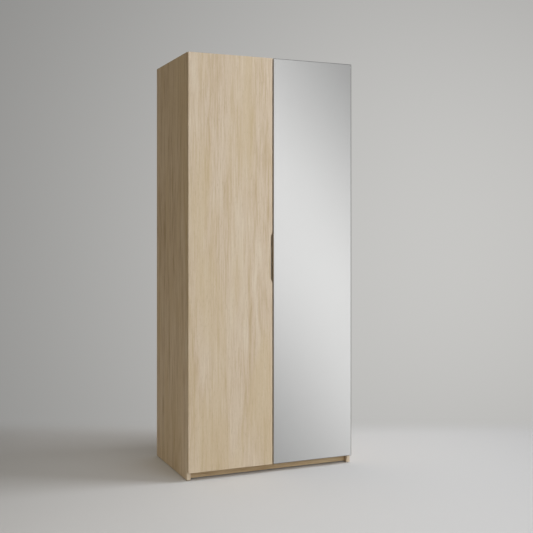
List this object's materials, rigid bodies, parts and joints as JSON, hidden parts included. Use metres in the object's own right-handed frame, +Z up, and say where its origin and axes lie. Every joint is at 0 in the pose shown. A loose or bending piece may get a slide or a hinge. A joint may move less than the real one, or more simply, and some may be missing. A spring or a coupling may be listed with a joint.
{
  "type": "two-door wardrobe",
  "caption": "Tall hinged-door wardrobe in pale oak board: one oak door with a finger grip, one full mirror door, hat shelf and clothes rail inside.",
  "frame": {"origin": "on the floor, under the middle of the whole wardrobe with its doors closed", "axes": "+Z up, -Y to the front (doors), +Y to the wall, +X to the right seen from the front"},
  "size_m": [0.9, 0.55, 2.1],
  "materials": {
    "oak_laminate": "pale oak laminate on chipboard, satin, vertical grain",
    "backing_board": "thin fibreboard with a pale paper face",
    "mirror": "silvered float glass with ground edges",
    "nickel_steel": "nickel-plated pressed steel, satin",
    "chrome": "bright chrome plate",
    "white_plastic": "matt extruded plastic",
    "dark_plastic": "matt moulded plastic"
  },
  "bodies": {
    "carcass": {"side_panel_left": "oak_laminate", "side_panel_right": "oak_laminate", "top_panel": "oak_laminate", "bottom_panel": "oak_laminate", "back_panel_left": "backing_board", "back_panel_right": "backing_board", "back_joining_strip": "white_plastic", "plinth_front": "oak_laminate", "plinth_rear": "oak_laminate", "glide_left_front": "dark_plastic", "glide_left_back": "dark_plastic", "glide_right_front": "dark_plastic", "glide_right_back": "dark_plastic", "centre_foot": "dark_plastic", "hat_shelf": "oak_laminate", "shelf_pin_left_front": "nickel_steel", "shelf_pin_left_back": "nickel_steel", "shelf_pin_right_front": "nickel_steel", "shelf_pin_right_back": "nickel_steel", "clothes_rail": "chrome", "rail_bracket_left": "chrome", "rail_bracket_right": "chrome", "wall_bracket_left": "nickel_steel", "wall_bracket_right": "nickel_steel", "hinge_arm_left_1": "nickel_steel", "hinge_arm_left_2": "nickel_steel", "hinge_arm_left_3": "nickel_steel", "hinge_arm_left_4": "nickel_steel", "hinge_arm_right_1": "nickel_steel", "hinge_arm_right_2": "nickel_steel", "hinge_arm_right_3": "nickel_steel", "hinge_arm_right_4": "nickel_steel"},
    "left_outer_links": {"hinge_outer_link_left_1": "nickel_steel", "hinge_outer_link_left_2": "nickel_steel", "hinge_outer_link_left_3": "nickel_steel", "hinge_outer_link_left_4": "nickel_steel"},
    "left_door": {"door_oak": "oak_laminate", "hinge_cup_left_1": "nickel_steel", "hinge_cup_left_2": "nickel_steel", "hinge_cup_left_3": "nickel_steel", "hinge_cup_left_4": "nickel_steel"},
    "left_inner_links": {"hinge_inner_link_left_1": "nickel_steel", "hinge_inner_link_left_2": "nickel_steel", "hinge_inner_link_left_3": "nickel_steel", "hinge_inner_link_left_4": "nickel_steel"},
    "right_outer_links": {"hinge_outer_link_right_1": "nickel_steel", "hinge_outer_link_right_2": "nickel_steel", "hinge_outer_link_right_3": "nickel_steel", "hinge_outer_link_right_4": "nickel_steel"},
    "right_door": {"door_mirror_carrier": "oak_laminate", "mirror_glass": "mirror", "hinge_cup_right_1": "nickel_steel", "hinge_cup_right_2": "nickel_steel", "hinge_cup_right_3": "nickel_steel", "hinge_cup_right_4": "nickel_steel"},
    "right_inner_links": {"hinge_inner_link_right_1": "nickel_steel", "hinge_inner_link_right_2": "nickel_steel", "hinge_inner_link_right_3": "nickel_steel", "hinge_inner_link_right_4": "nickel_steel"}
  },
  "joints": [
    {"name": "left_link_pivot", "type": "hinge", "parent": "carcass", "child": "left_outer_links", "pos_m": [-0.409, -0.24308, 1.07], "axis": [0, 0, -1], "range_deg": [-26, 0]},
    {"name": "left_door_hinge", "type": "hinge", "parent": "left_outer_links", "child": "left_door", "pos_m": [-0.43828, -0.25882, 1.07], "axis": [0, 0, -1], "range_deg": [0, 115.57]},
    {"name": "left_inner_link_pivot", "type": "hinge", "parent": "left_door", "child": "left_inner_links", "pos_m": [-0.4386, -0.2645, 1.07], "axis": [0, 0, -1], "range_deg": [-104, 0]},
    {"name": "right_link_pivot", "type": "hinge", "parent": "carcass", "child": "right_outer_links", "pos_m": [0.409, -0.24308, 1.07], "axis": [0, 0, 1], "range_deg": [-26, 0]},
    {"name": "right_door_hinge", "type": "hinge", "parent": "right_outer_links", "child": "right_door", "pos_m": [0.43828, -0.25882, 1.07], "axis": [0, 0, 1], "range_deg": [0, 115.57]},
    {"name": "right_inner_link_pivot", "type": "hinge", "parent": "right_door", "child": "right_inner_links", "pos_m": [0.4386, -0.2645, 1.07], "axis": [0, 0, 1], "range_deg": [-104, 0]}
  ],
  "couplings": [
    {"joint": "left_link_pivot", "follows": "left_door_hinge", "ratio": -0.2126},
    {"joint": "left_inner_link_pivot", "follows": "left_door_hinge", "ratio": -0.87795},
    {"joint": "right_link_pivot", "follows": "right_door_hinge", "ratio": -0.2126},
    {"joint": "right_inner_link_pivot", "follows": "right_door_hinge", "ratio": -0.87795}
  ]
}
